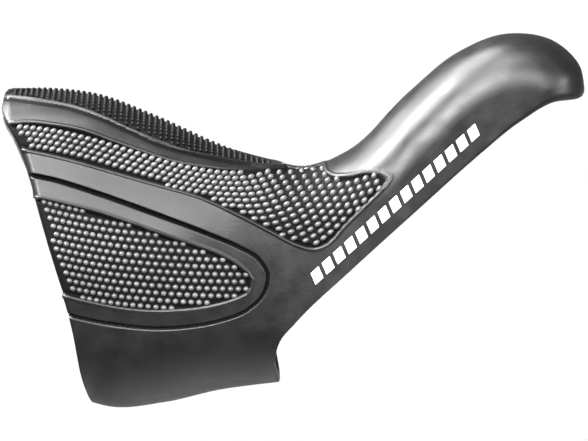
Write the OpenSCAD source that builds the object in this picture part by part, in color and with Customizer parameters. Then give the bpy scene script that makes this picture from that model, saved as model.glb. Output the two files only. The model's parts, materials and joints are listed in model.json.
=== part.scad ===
// Right-hand road bicycle brake and shift lever, body assembly: rubber hood, lever body,
// handlebar clamp bolt, blade pivot and the indexed shift mechanism with its thumb lever.
// Millimetres. +X forward to the horn, +Z up, -Y outboard, origin on the handlebar axis.

/* [Hood] */
// Thickness of the rubber wall of the hood, mm
hood_wall = 2.2; // [1.8:0.1:2.4]
// Half width of the hood at the handlebar end, mm
rear_half_width = 18; // [17.5:0.5:20]
// Half width of the hood in the middle of the grip, mm
grip_half_width = 16; // [15.5:0.5:16.5]
// Half width of the hood towards the tip of the horn, mm
horn_half_width = 12.5; // [11.5:0.5:14]

/* [Handlebar] */
// Diameter of the handlebar the saddle of the body fits, mm
bar_d = 24; // [23.8:0.1:24.2]
// Backward lean of the handlebar at the lever, degrees
bar_lean = 16; // [14:1:18]

/* [Clamp bolt] */
// Diameter of the shank of the clamp bolt, mm
bolt_d = 5; // [4:0.5:5]
// Diameter of the head of the clamp bolt, mm
bolt_head_d = 8; // [7.5:0.5:8.5]

/* [Blade pivot] */
// Diameter of the pin the brake blade swings on, mm
pivot_d = 5; // [4:0.5:5]
// Width of the slot the brake blade swings in, mm
fork_w = 13; // [11:1:13]

/* [Shift mechanism] */
// Diameter of the axle the mechanism turns on, mm
axle_d = 5; // [4.5:0.5:5.5]
// Radius of the cable groove in the drum, mm
drum_groove_r = 7.8; // [7.4:0.1:8.2]
// Number of gears the index wheel has notches for
gears = 11; // [9:1:12]
// Number of teeth round the ratchet wheel
ratchet_teeth = 24; // [18:1:28]
// Depth of the notches in the index wheel, mm
notch_depth = 0.6; // [0.4:0.1:0.8]

/* [Hidden] */
$fn = 64;

// Side outline of the hood in X and Z: over the top from the rear to the tip of the horn,
// under the belly, up the rear rim, and up the rim of the front opening.
top_line = [
  [-1.9, 32.2], [7.4, 32.5], [18.7, 31.1], [30.2, 26.8], [46.9, 19.4], [55.2, 16.7], [62.8, 15.1],
  [71.9, 18.5], [85.6, 31.6], [96.2, 40.3], [106.9, 44.4], [117.5, 42.6], [122.6, 37.6], [123.9, 31.2]
];
belly_line = [[16.6, -36.0], [20.6, -37.0], [32.4, -36.1], [44.7, -33.3], [57.9, -31.5]];
rear_rim = [
  [16.6, -36.0], [14.7, -29.0], [13.4, -21.0], [11.9, -13.0], [9.4, -4.0], [7.0, 4.0],
  [5.3, 10.5], [3.9, 16.0], [2.5, 20.4], [0.8, 24.6], [-1.3, 28.3], [-2.0, 30.4], [-1.9, 32.2]
];
front_rim = [
  [57.9, -31.5], [56.9, -25.6], [57.9, -20.4], [61.3, -16.3], [73.3, -5.1],
  [87.2, 7.4], [101.2, 19.8], [109.9, 26.8], [117.5, 31.0], [123.9, 31.2]
];

// How quickly the shapes of the two rims fade into the straight rulings of the side.
rear_fade = 1.5;
front_fade = 4;
grip_x = 60;
tip_x = 124;

// Rounding of the side wall into the top and into the belly, at the rear and at the horn.
round_start_x = 30;
round_end_x = 92;
top_round = [9, 11];
top_power = [2.3, 2.2];
belly_round = [17, 12];
belly_power = 2.2;

// How much narrower the grip is towards its top and its belly than halfway up, as a share.
side_bow = 0.2;

belly_steps = 5;
side_steps = 6;
top_steps = 6;
half_steps = belly_steps + side_steps + top_steps;
ring_steps = 2 * half_steps;
hood_steps = 30;
body_steps = 20;

// The body fills the hood with this much room, from the rear rim to just short of the front opening.
hood_room = 0.35;
body_inset = hood_wall + hood_room;
body_from = 0;
body_to = 0.985;

bar_r = bar_d / 2;
run_gap = 0.05;
far = 140;

// Clamp: nut in bar coordinates, bolt leaning forward out of the nut up to the platform.
nut_x = 19;
nut_r = 4;
nut_half = 11.8;
bolt_at = [18.3, 0, 5.2];
bolt_lean = 23.3;
bolt_tip = -4.6;
bolt_seat = 16.1;
washer_t = 0.7;
bolt_head_h = 4;
bolt_r = bolt_d / 2 - 0.05;
bolt_head_r = bolt_head_d / 2;
strap_y = 12.8;
strap_t = 1.2;
strap_h = 12.4;

// Cable housing sockets, in bar coordinates.
socket_x = 13.4;
socket_y = 9;
socket_z = 19;
socket_len = 6.6;
socket_r = 3.1;
socket_end = 0.9;
brake_housing_r = 2.55;
shift_housing_r = 2.05;
cable_hole_r = 0.9;
cable_way_r = 1.2;

// Mechanism: axis square to the front opening. Heights run inward from the opening.
gear_at = [67.5, 0, -10.5];
gear_lean = 41.34;
chamber_r = 11;
chamber_top = 20;
axle_r = axle_d / 2;
axle_from = 0.8;
axle_to = 22.4;
nut_z = [1, 3.5];
axle_washer_z = [3.55, 4.35];
cover_clip_z = [3.2, 4.2];
cover_z = [4.4, 6];
drum_z = [6.3, 11.2];
drum_r = 9.3;
drum_recess_r = 7;
drum_recess_h = 1.9;
ratchet_z = [11.2, 12.8];
ratchet_r = 6.4;
ratchet_root_r = 5.5;
index_z = [12.8, 14.4];
index_r = 6.8;
spacer_z = [14.6, 15.2];
thumb_z = [15.4, 17.8];
thumb_hub_r = 6;
thumb_spring_z = 18.25;

// Thumb lever arm, its slot through the wall, and the button at its end.
arm_to = [7, 20];
arm_w = 5.2;
arm_len = 22;
slot_x = [-4.9, 9.5];
slot_z = [14.9, 18.3];
button_x = [5.5, 9];
button_y = [19.2, 23.6];
button_r = 3.2;
arm_angle = atan2(arm_to[1], arm_to[0]);

// Blade fork and pivot, in mechanism coordinates.
fork_x = [13.5, 39];
fork_z = [-8, 11];
pivot_at = [33, 0, 4.5];
pivot_r = pivot_d / 2 - 0.02;
bush_r = 3.4;
bush_end = 10;
flange_r = 4.4;
flange_t = 0.6;
pin_y = [-11, 11.6];
clip_y = [10.3, 10.9];
clip_groove_r = pivot_r - 0.4;
clip_room_r = 4.5;

// Pawl and index plunger, in mechanism coordinates.
pawl_r = 8.9;
pawl_angle = 215;
pawl_tip_r = 7.3;
pawl_tip_angle = 252;
pawl_boss_r = 1.5;
pawl_pin_r = 0.9;
pawl_z = [11.5, 12.7];
pawl_pin_to = 21.6;
pawl_spring_at = 13.1;
plunger_angle = 335;
plunger_z = 13.6;
plunger_r = 1.5;
plunger_from = 7.1;
plunger_to = 13.4;
plunger_bore_to = 18;

rubber = [0.09, 0.09, 0.1];
composite = [0.2, 0.2, 0.22];
steel = [0.68, 0.69, 0.71];
dark_steel = [0.38, 0.39, 0.42];
alloy = [0.78, 0.79, 0.8];
bronze = [0.72, 0.55, 0.32];
resin = [0.85, 0.84, 0.8];

// A smooth curve through points: the points, where each lies along it, and its slope there.
function along(p) = [
  for (s = 0, i = 0; i < len(p); s = s + norm((i + 1 < len(p) ? p[i + 1] : p[i]) - p[i]), i = i + 1) s
];
function scaled(k) = [for (s = k) s / k[len(k) - 1]];
function slope(p, k, i) = (p[i + 1] - p[i]) / (k[i + 1] - k[i]);
function slopes(p, k) = [
  for (i = [0 : len(p) - 1])
    i == 0 ? slope(p, k, 0)
    : i == len(p) - 1 ? slope(p, k, i - 1)
    : (slope(p, k, i - 1) * (k[i + 1] - k[i]) + slope(p, k, i) * (k[i] - k[i - 1])) / (k[i + 1] - k[i - 1])
];
function curve(p) = let (k = scaled(along(p))) [p, k, slopes(p, k)];
function span_of(k, t) = max([for (j = [0 : len(k) - 2]) if (j == 0 || t >= k[j]) j]);
function at(c, t) = let (
    i = span_of(c[1], t),
    h = c[1][i + 1] - c[1][i],
    s = (t - c[1][i]) / h
  )
  (2 * pow(s, 3) - 3 * pow(s, 2) + 1) * c[0][i]
  + (pow(s, 3) - 2 * pow(s, 2) + s) * h * c[2][i]
  + (3 * pow(s, 2) - 2 * pow(s, 3)) * c[0][i + 1]
  + (pow(s, 3) - pow(s, 2)) * h * c[2][i + 1];
function heading(c, t) = let (
    e = 0.002,
    d = at(c, t + e) - at(c, t - e)
  ) d / norm(d);
function left_of(d) = [-d[1], d[0]];
function bulge(c, v) = at(c, v) - (c[0][0] + (c[0][len(c[0]) - 1] - c[0][0]) * v);

top_curve = curve(top_line);
belly_curve = curve(belly_line);
rear_curve = curve(rear_rim);
front_curve = curve(front_rim);

// Distance from a point of the side to an edge line, which is followed in short straight steps.
function traced(c, steps) = [for (i = [0 : steps]) at(c, i / steps)];
function off_step(p, a, b) = let (s = max(0, min(1, ((p - a) * (b - a)) / ((b - a) * (b - a)))))
  norm(p - a - s * (b - a));
function off_line(p, l) = min([for (i = [1 : len(l) - 1]) off_step(p, l[i - 1], l[i])]);
top_trace = traced(top_curve, 36);
belly_trace = traced(belly_curve, 12);

function mix(a, b, t) = a + (b - a) * t;
function eased(t) = let (c = min(1, max(0, t))) c * c * (3 - 2 * c);
function half_width(x) = let (
    a = (grip_half_width - rear_half_width) / grip_x,
    b = (horn_half_width - grip_half_width) / (tip_x - grip_x)
  ) rear_half_width + a * x + (b - a) / tip_x * x * (x - grip_x);
function rounded(s, n) = s >= 1 ? 1 : s <= 0 ? 0 : pow(1 - pow(1 - s, n), 1 / n);
function arc_depth(i, steps, n) = 1 - pow(cos(90 * i / steps), 2 / n);

// A point on the ruling from b along line, shifted by what is left of the two rims' shapes.
function spot(u, b, line, v) = b + line * v
  + bulge(rear_curve, v) * pow(1 - u, rear_fade)
  + bulge(front_curve, v) * pow(u, front_fade);

// Where on a ruling the top edge line is this far away, found by halving.
function sought(u, b, line, depth, lo, hi, n) = let (mid = (lo + hi) / 2)
  n == 0 ? mid
  : off_line(spot(u, b, line, mid), top_trace) > depth ? sought(u, b, line, depth, mid, hi, n - 1)
  : sought(u, b, line, depth, lo, mid, n - 1);

// Half width of the hood at a point of the side, this far inside the outer skin.
function horn_share(x) = eased((x - round_start_x) / (round_end_x - round_start_x));
function half_at(p, inset) = let (
    blend = horn_share(p[0]),
    below = off_line(p, top_trace),
    above = off_line(p, belly_trace),
    way = (above - below) / (above + below),
    t_deep = (below - inset) / (mix(top_round[0], top_round[1], blend) - inset),
    b_deep = (above - inset) / (mix(belly_round[0], belly_round[1], blend) - inset)
  ) (half_width(p[0]) - inset) * (1 - side_bow * (1 - blend) * way * way)
  * rounded(t_deep, mix(top_power[0], top_power[1], blend)) * rounded(b_deep, belly_power);

// One ring round the hood at u along its length, this far inside the outer skin:
// up the outboard side from the belly to the top, then down the inboard side.
function ring(u, inset) = let (
    halvings = 11,
    b_dir = heading(belly_curve, u),
    t = at(top_curve, u) - inset * left_of(heading(top_curve, u)),
    b = at(belly_curve, u) + inset * left_of(b_dir),
    line = t - b,
    blend = horn_share(t[0]),
    t_round = mix(top_round[0], top_round[1], blend) - inset,
    t_power = mix(top_power[0], top_power[1], blend),
    b_round = mix(belly_round[0], belly_round[1], blend) - inset,
    v_low = b_round / abs(cross(line, b_dir)),
    t_depths = [for (i = [top_steps : -1 : 1]) t_round * arc_depth(i, top_steps, t_power)],
    t_vs = [for (d = t_depths) sought(u, b, line, d + inset, 0.35, 1, halvings)],
    vs = [
      for (i = [0 : belly_steps - 1]) v_low * arc_depth(i, belly_steps, belly_power),
      for (i = [0 : side_steps - 1]) mix(v_low, t_vs[0], i / side_steps),
      each t_vs,
      1
    ],
    side = [
      for (v = vs) let (p = spot(u, b, line, v)) [p[0], v == 0 || v == 1 ? 0 : half_at(p, inset), p[1]]
    ]
  ) [
    for (i = [0 : half_steps]) [side[i][0], -side[i][1], side[i][2]],
    for (i = [half_steps - 1 : -1 : 1]) side[i]
  ];

function flat_list(l) = [for (a = l) for (b = a) b];
function band(a, b) = [
  for (k = [0 : ring_steps - 1]) let (n = (k + 1) % ring_steps)
    [a * ring_steps + k, b * ring_steps + k, b * ring_steps + n, a * ring_steps + n]
];
function end_cap(a, turned) = [
  for (k = [0 : half_steps - 1]) let (
    r = ring_steps - k,
    quad = k == 0 ? [0, 1, ring_steps - 1]
      : k == half_steps - 1 ? [k, k + 1, r]
      : [k, k + 1, r - 1, r],
    face = [for (i = quad) a * ring_steps + i]
  ) turned ? [for (i = [len(face) - 1 : -1 : 0]) face[i]] : face
];

// A sleeve between two depths below the hood's outer skin, open at both rims.
module sleeve(outside, inside, steps) {
  rings = [
    for (i = [0 : steps]) ring(i / steps, outside),
    for (i = [steps : -1 : 0]) ring(i / steps, inside)
  ];
  polyhedron(
    points = flat_list(rings),
    faces = flat_list([for (r = [0 : len(rings) - 1]) band(r, (r + 1) % len(rings))])
  );
}

// A solid filling the hood up to a depth below its outer skin.
module filling(inside, from, to, steps) {
  rings = [for (i = [0 : steps]) ring(mix(from, to, i / steps), inside)];
  polyhedron(
    points = flat_list(rings),
    faces = concat(
      flat_list([for (r = [0 : steps - 1]) band(r, r + 1)]),
      end_cap(0, false),
      end_cap(steps, true)
    )
  );
}

// A coil spring standing on z = 0.
module coil(mean_r, wire_r, pitch, turns) {
  sides = 6;
  per_turn = 16;
  n = per_turn * turns;
  polyhedron(
    points = [
      for (i = [0 : n], j = [0 : sides - 1]) let (
        a = 360 * i / per_turn,
        b = 360 * j / sides,
        r = mean_r + wire_r * cos(b)
      ) [r * cos(a), r * sin(a), pitch * i / per_turn + wire_r * sin(b)]
    ],
    faces = concat(
      [for (i = [0 : n - 1], j = [0 : sides - 1]) let (m = (j + 1) % sides)
        [i * sides + j, i * sides + m, (i + 1) * sides + m, (i + 1) * sides + j]],
      [[for (j = [sides - 1 : -1 : 0]) j]],
      [[for (j = [0 : sides - 1]) n * sides + j]]
    )
  );
}

// A flat ribbon wound outward, standing on z = 0.
module ribbon_spring(from_r, to_r, ribbon, turns, h) {
  steps = 20 * turns;
  function pt(i, off) = let (a = 360 * turns * i / steps, r = mix(from_r, to_r, i / steps) + off)
    [r * cos(a), r * sin(a)];
  linear_extrude(h)
    polygon(concat(
      [for (i = [0 : steps]) pt(i, 0)],
      [for (i = [steps : -1 : 0]) pt(i, ribbon)]
    ));
}

module disc(r, z) {
  translate([0, 0, z[0]])
    cylinder(r = r, h = z[1] - z[0]);
}

module at_bar() {
  rotate([0, -bar_lean, 0])
    children();
}

module at_bolt() {
  translate(bolt_at)
    rotate([0, bolt_lean, 0])
      children();
}

module at_gear() {
  translate(gear_at)
    rotate([0, -gear_lean, 0])
      children();
}

// Local z runs along +Y.
module at_pivot() {
  at_gear()
    translate(pivot_at)
      rotate([-90, 0, 0])
        children();
}

// Local z runs forward into the body.
module at_socket(side) {
  at_bar()
    translate([socket_x, side * socket_y, socket_z])
      rotate([0, 90, 0])
        children();
}

// Local z runs outward from the mechanism axis.
module at_plunger() {
  at_gear()
    translate([0, 0, plunger_z])
      rotate([0, 90, plunger_angle])
        children();
}

module at_pawl() {
  at_gear()
    translate([pawl_r * cos(pawl_angle), pawl_r * sin(pawl_angle), 0])
      children();
}

module rod_between(a, b, r) {
  d = b - a;
  translate(a)
    rotate([0, acos(d[2] / norm(d)), atan2(d[1], d[0])])
      cylinder(r = r, h = norm(d));
}

module thumb_slot(extra) {
  at_gear()
    translate([slot_x[0] - extra, 5, slot_z[0] - extra])
      cube([slot_x[1] - slot_x[0] + 2 * extra, 20, slot_z[1] - slot_z[0] + 2 * extra]);
}

module hood() {
  rim_room = 0.8;
  color(rubber)
    difference() {
      sleeve(0, hood_wall, hood_steps);
      at_bar()
        cylinder(r = bar_r + rim_room, h = far, center = true);
      thumb_slot(0.4);
    }
}

module lever_body() {
  color(composite)
    difference() {
      filling(body_inset, body_from, body_to, body_steps);
      handlebar_saddle();
      clamp_bores();
      socket_bores();
      chamber_bores();
      fork_bores();
      thumb_slot(0);
    }
}

module handlebar_saddle() {
  at_bar()
    cylinder(r = bar_r, h = far, center = true);
}

module clamp_bores() {
  strap_from = 2;
  at_bar()
    translate([nut_x, 0, 0])
      rotate([90, 0, 0])
        cylinder(r = nut_r + 0.1, h = 40, center = true);
  for (side = [-1, 1])
    at_bar()
      translate([strap_from, side * strap_y - strap_t / 2, -strap_h / 2])
        cube([nut_x + nut_r - strap_from, strap_t, strap_h]);
  at_bolt() {
    translate([0, 0, bolt_tip - 0.6])
      cylinder(r = bolt_r + 0.2, h = 30);
    translate([0, 0, bolt_seat])
      cylinder(r = bolt_head_r + 0.6, h = 12);
  }
}

module socket_bores() {
  room = 0.02;
  for (side = [-1, 1])
    at_socket(side) {
      cylinder(r = socket_r + room, h = socket_len + room);
      translate([0, 0, -20])
        cylinder(r = socket_r + room, h = 21);
    }
  rod_between(bar_point([socket_x, -socket_y, socket_z]), gear_point([0, -8, 8.8]), cable_way_r);
  rod_between(bar_point([socket_x, socket_y, socket_z]), gear_point([20, 5, 8]), cable_way_r);
}

function bar_point(p) = [
  p[0] * cos(bar_lean) - p[2] * sin(bar_lean), p[1], p[0] * sin(bar_lean) + p[2] * cos(bar_lean)
];
function gear_point(p) = gear_at + [
  p[0] * cos(gear_lean) - p[2] * sin(gear_lean), p[1], p[0] * sin(gear_lean) + p[2] * cos(gear_lean)
];

module chamber_bores() {
  at_gear() {
    disc(chamber_r, [-12, chamber_top]);
    disc(chamber_r + 0.6, cover_clip_z);
    disc(axle_r, [chamber_top - 1, axle_to + 0.1]);
  }
  at_pawl()
    disc(pawl_pin_r, [chamber_top - 1, pawl_pin_to + 0.1]);
  at_plunger()
    translate([0, 0, chamber_r - 2])
      cylinder(r = plunger_r + run_gap, h = plunger_bore_to - chamber_r + 2);
}

module fork_bores() {
  at_gear()
    translate([fork_x[0], -fork_w / 2, fork_z[0]])
      cube([fork_x[1] - fork_x[0], fork_w, fork_z[1] - fork_z[0]]);
  at_pivot() {
    cylinder(r = pivot_r + 0.1, h = 40, center = true);
    cylinder(r = bush_r + 0.02, h = 2 * bush_end + 0.2, center = true);
    translate([0, 0, clip_y[0] - 0.1])
      cylinder(r = clip_room_r, h = 10);
  }
}

module clamp_bolt() {
  key_r = bolt_head_r * 0.55;
  key_deep = 2.4;
  head_from = bolt_seat + 0.05 + washer_t;
  color(steel)
    at_bolt()
      difference() {
        union() {
          translate([0, 0, bolt_tip])
            cylinder(r = bolt_r, h = head_from - bolt_tip + 0.5);
          translate([0, 0, head_from])
            cylinder(r = bolt_head_r, h = bolt_head_h);
        }
        translate([0, 0, head_from + bolt_head_h - key_deep])
          cylinder(r = key_r, h = key_deep + 1, $fn = 6);
      }
}

module clamp_washer() {
  color(dark_steel)
    at_bolt()
      translate([0, 0, bolt_seat + 0.02])
        difference() {
          cylinder(r = bolt_head_r + 0.4, h = washer_t);
          translate([0, 0, -1])
            cylinder(r = bolt_r + 0.15, h = washer_t + 2);
        }
}

module clamp_nut() {
  color(steel)
    difference() {
      at_bar()
        translate([nut_x, 0, 0])
          rotate([90, 0, 0])
            cylinder(r = nut_r, h = 2 * nut_half, center = true);
      at_bolt()
        cylinder(r = bolt_r + 0.02, h = 20, center = true);
    }
}

module housing_socket(side, housing_r) {
  color(alloy)
    at_socket(side)
      difference() {
        cylinder(r = socket_r, h = socket_len);
        translate([0, 0, -1])
          cylinder(r = housing_r, h = socket_len - socket_end + 1);
        cylinder(r = cable_hole_r, h = socket_len + 1);
      }
}

module brake_housing_socket() {
  housing_socket(1, brake_housing_r);
}

module shift_housing_socket() {
  housing_socket(-1, shift_housing_r);
}

module blade_pivot_pin() {
  color(steel)
    at_pivot()
      difference() {
        translate([0, 0, pin_y[0]])
          cylinder(r = pivot_r, h = pin_y[1] - pin_y[0]);
        translate([0, 0, clip_y[0] - 0.05])
          difference() {
            cylinder(r = pivot_r + 1, h = clip_y[1] - clip_y[0] + 0.1);
            cylinder(r = clip_groove_r, h = 2);
          }
      }
}

module pivot_bush() {
  difference() {
    union() {
      translate([0, 0, fork_w / 2 - flange_t])
        cylinder(r = flange_r, h = flange_t - 0.02);
      translate([0, 0, fork_w / 2 - flange_t])
        cylinder(r = bush_r, h = bush_end - fork_w / 2 + flange_t);
    }
    cylinder(r = pivot_r + run_gap, h = 30);
  }
}

module pivot_bush_outboard() {
  color(bronze)
    at_pivot()
      mirror([0, 0, 1])
        pivot_bush();
}

module pivot_bush_inboard() {
  color(bronze)
    at_pivot()
      pivot_bush();
}

module split_ring(inner_r, outer_r, z, gap) {
  difference() {
    disc(outer_r, z);
    disc(inner_r, [z[0] - 1, z[1] + 1]);
    translate([0, -gap / 2, z[0] - 1])
      cube([outer_r + 1, gap, z[1] - z[0] + 2]);
  }
}

module pivot_circlip() {
  color(dark_steel)
    at_pivot()
      split_ring(clip_groove_r + 0.03, clip_room_r - 0.6, clip_y, 2.4);
}

module main_axle() {
  color(steel)
    at_gear()
      disc(axle_r - 0.02, [axle_from, axle_to]);
}

module axle_nut() {
  nut_corner_r = 4.2;
  color(dark_steel)
    at_gear()
      difference() {
        translate([0, 0, nut_z[0]])
          cylinder(r = nut_corner_r, h = nut_z[1] - nut_z[0], $fn = 6);
        disc(axle_r, [nut_z[0] - 1, nut_z[1] + 1]);
      }
}

module flat_washer(outer_r, z) {
  difference() {
    disc(outer_r, z);
    disc(axle_r + 0.04, [z[0] - 1, z[1] + 1]);
  }
}

module axle_washer() {
  color(alloy)
    at_gear()
      flat_washer(4.6, axle_washer_z);
}

module mechanism_cover() {
  window_r = 2;
  window_at = 7.2;
  windows = 5;
  color(composite)
    at_gear()
      difference() {
        flat_washer(chamber_r - 0.05, cover_z);
        for (i = [0 : windows - 1])
          rotate([0, 0, 360 * i / windows])
            translate([window_at, 0, cover_z[0] - 1])
              cylinder(r = window_r, h = 4);
      }
}

module cover_circlip() {
  color(dark_steel)
    at_gear()
      rotate([0, 0, 180])
        split_ring(chamber_r - 1.6, chamber_r + 0.55, [cover_clip_z[0] + 0.05, cover_clip_z[1] - 0.05], 5);
}

module cable_drum() {
  groove_w = 2.2;
  groove_z = 9.6;
  anchor_r = 1.5;
  color(resin)
    at_gear()
      difference() {
        disc(drum_r, drum_z);
        disc(axle_r + run_gap, [drum_z[0] - 1, drum_z[1] + 1]);
        difference() {
          disc(drum_r + 1, [groove_z - groove_w / 2, groove_z + groove_w / 2]);
          disc(drum_groove_r, [groove_z - groove_w, groove_z + groove_w]);
        }
        disc(drum_recess_r, [drum_z[0] - 1, drum_z[0] + drum_recess_h]);
        rotate([0, 0, 150])
          translate([drum_groove_r - 0.6, 0, groove_z])
            rotate([90, 0, 0])
              cylinder(r = anchor_r - 0.3, h = 4, center = true);
      }
}

module ratchet_wheel() {
  step = 360 / ratchet_teeth;
  color(steel)
    at_gear()
      difference() {
        translate([0, 0, ratchet_z[0]])
          linear_extrude(ratchet_z[1] - ratchet_z[0])
            polygon([
              for (i = [0 : ratchet_teeth - 1], tip = [0, 1]) let (
                r = tip == 1 ? ratchet_r : ratchet_root_r,
                a = step * (i + (tip == 1 ? 0.85 : 0))
              ) [r * cos(a), r * sin(a)]
            ]);
        disc(axle_r + run_gap, [ratchet_z[0] - 1, ratchet_z[1] + 1]);
      }
}

module index_wheel() {
  notch_r = 1.4;
  notch_step = 14;
  color(dark_steel)
    at_gear()
      difference() {
        disc(index_r, index_z);
        disc(axle_r + run_gap, [index_z[0] - 1, index_z[1] + 1]);
        for (i = [0 : gears - 1])
          rotate([0, 0, plunger_angle - i * notch_step])
            translate([index_r + notch_r - notch_depth, 0, index_z[0] - 1])
              cylinder(r = notch_r, h = 4);
      }
}

module drum_return_spring() {
  ribbon = 0.4;
  room = 0.3;
  color(steel)
    at_gear()
      translate([0, 0, drum_z[0] + 0.2])
        ribbon_spring(axle_r + 2 * room, drum_recess_r - room - ribbon, ribbon, 4, drum_recess_h - 0.5);
}

module drum_spacer() {
  color(bronze)
    at_gear()
      flat_washer(4.5, spacer_z);
}

module thumb_lever() {
  color(alloy)
    at_gear()
      difference() {
        union() {
          disc(thumb_hub_r, thumb_z);
          rotate([0, 0, arm_angle])
            translate([2, -arm_w / 2, thumb_z[0]])
              cube([arm_len - 2, arm_w, thumb_z[1] - thumb_z[0]]);
        }
        disc(axle_r + run_gap, [thumb_z[0] - 1, thumb_z[1] + 1]);
      }
}

module thumb_button() {
  mid_z = (thumb_z[0] + thumb_z[1]) / 2;
  room = 0.05;
  dome_r = 14;
  color(composite)
    at_gear()
      difference() {
        intersection() {
          hull()
            for (x = button_x)
              translate([x, button_y[0], mid_z])
                rotate([-90, 0, 0])
                  cylinder(r = button_r, h = button_y[1] - button_y[0], $fn = 32);
          translate([(button_x[0] + button_x[1]) / 2, button_y[1] - dome_r, mid_z])
            sphere(r = dome_r);
        }
        rotate([0, 0, arm_angle])
          translate([2, -arm_w / 2 - room, thumb_z[0] - room])
            cube([arm_len - 2 + room, arm_w + 2 * room, thumb_z[1] - thumb_z[0] + 2 * room]);
      }
}

module thumb_spring() {
  color(steel)
    at_gear()
      translate([0, 0, thumb_spring_z])
        coil(3.6, 0.35, 0.8, 1.5);
}

module holding_pawl() {
  tip_r = 0.45;
  tip = [pawl_tip_r * cos(pawl_tip_angle), pawl_tip_r * sin(pawl_tip_angle), pawl_z[0]];
  color(dark_steel)
    difference() {
      union() {
        at_pawl()
          disc(pawl_boss_r, pawl_z);
        at_gear()
          hull() {
            translate([pawl_r * cos(pawl_angle), pawl_r * sin(pawl_angle), pawl_z[0]])
              cylinder(r = 1, h = pawl_z[1] - pawl_z[0], $fn = 32);
            translate(tip)
              cylinder(r = tip_r, h = pawl_z[1] - pawl_z[0], $fn = 32);
          }
      }
      at_pawl()
        disc(pawl_pin_r + run_gap, [pawl_z[0] - 1, pawl_z[1] + 1]);
    }
}

module pawl_pin() {
  color(steel)
    at_pawl()
      disc(pawl_pin_r - 0.01, [pawl_z[0] - 0.15, pawl_pin_to]);
}

module pawl_spring() {
  color(steel)
    at_pawl()
      translate([0, 0, pawl_spring_at])
        coil(pawl_pin_r + 0.45, 0.2, 0.5, 3);
}

module index_plunger() {
  color(alloy)
    at_plunger()
      union() {
        translate([0, 0, plunger_from + plunger_r])
          sphere(r = plunger_r);
        translate([0, 0, plunger_from + plunger_r])
          cylinder(r = plunger_r, h = plunger_to - plunger_from - plunger_r);
      }
}

module index_spring() {
  wire_r = 0.22;
  turns = 4;
  spring_from = plunger_to + 0.3;
  spring_to = plunger_bore_to - 0.3;
  color(steel)
    at_plunger()
      translate([0, 0, spring_from])
        coil(plunger_r - wire_r - 0.1, wire_r, (spring_to - spring_from) / turns, turns);
}

hood();
lever_body();
clamp_bolt();
clamp_washer();
clamp_nut();
brake_housing_socket();
shift_housing_socket();
blade_pivot_pin();
pivot_bush_outboard();
pivot_bush_inboard();
pivot_circlip();
main_axle();
axle_nut();
axle_washer();
mechanism_cover();
cover_circlip();
cable_drum();
ratchet_wheel();
index_wheel();
drum_return_spring();
drum_spacer();
thumb_lever();
thumb_button();
thumb_spring();
holding_pawl();
pawl_pin();
pawl_spring();
index_plunger();
index_spring();
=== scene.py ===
import json
import math

import bpy
import numpy as np
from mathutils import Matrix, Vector


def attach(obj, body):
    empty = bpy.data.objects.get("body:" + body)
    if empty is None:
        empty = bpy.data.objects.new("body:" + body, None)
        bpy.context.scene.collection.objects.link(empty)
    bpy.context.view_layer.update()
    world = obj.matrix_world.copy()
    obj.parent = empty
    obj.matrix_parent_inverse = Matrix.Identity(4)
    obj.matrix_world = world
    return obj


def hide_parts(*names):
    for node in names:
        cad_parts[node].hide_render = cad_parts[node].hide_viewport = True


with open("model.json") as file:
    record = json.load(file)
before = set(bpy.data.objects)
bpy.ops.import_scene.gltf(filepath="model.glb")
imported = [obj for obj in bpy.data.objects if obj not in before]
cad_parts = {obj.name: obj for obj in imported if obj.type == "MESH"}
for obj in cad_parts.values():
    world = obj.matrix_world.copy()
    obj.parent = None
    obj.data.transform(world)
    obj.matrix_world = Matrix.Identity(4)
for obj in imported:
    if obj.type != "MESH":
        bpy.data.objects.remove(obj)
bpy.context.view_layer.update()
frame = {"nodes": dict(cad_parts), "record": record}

MM = 0.001

# ---------------------------------------------------------------------------------------------
# The hood's outline, in millimetres: X forward, Z up, the same lines as the CAD part.

TOP_LINE = [(-1.9, 32.2), (7.4, 32.5), (18.7, 31.1), (30.2, 26.8), (46.9, 19.4), (55.2, 16.7),
            (62.8, 15.1), (71.9, 18.5), (85.6, 31.6), (96.2, 40.3), (106.9, 44.4), (117.5, 42.6),
            (122.6, 37.6), (123.9, 31.2)]
BELLY_LINE = [(16.6, -36.0), (20.6, -37.0), (32.4, -36.1), (44.7, -33.3), (57.9, -31.5)]
REAR_RIM = [(16.6, -36.0), (14.7, -29.0), (13.4, -21.0), (11.9, -13.0), (9.4, -4.0), (7.0, 4.0),
            (5.3, 10.5), (3.9, 16.0), (2.5, 20.4), (0.8, 24.6), (-1.3, 28.3), (-2.0, 30.4), (-1.9, 32.2)]
FRONT_RIM = [(57.9, -31.5), (56.9, -25.6), (57.9, -20.4), (61.3, -16.3), (73.3, -5.1),
             (87.2, 7.4), (101.2, 19.8), (109.9, 26.8), (117.5, 31.0), (123.9, 31.2)]
REAR_FADE = 1.5
FRONT_FADE = 4
REAR_HALF, GRIP_HALF, HORN_HALF = 18.0, 16.0, 12.5
GRIP_X, TIP_X = 60.0, 124.0
ROUND_START, ROUND_END = 30.0, 92.0
TOP_ROUND, TOP_POWER = (9.0, 11.0), (2.3, 2.2)
BELLY_ROUND, BELLY_POWER = (17.0, 12.0), 2.2
SIDE_BOW = 0.2
WALL = 2.2
GEAR_AT, GEAR_LEAN = np.array([67.5, 0.0, -10.5]), math.radians(41.34)

# ---------------------------------------------------------------------------------------------
# The moulded pattern, drawn on the outboard side as it is seen level from a little above:
# first number forward, second number up the tilted view, both in millimetres.

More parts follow.
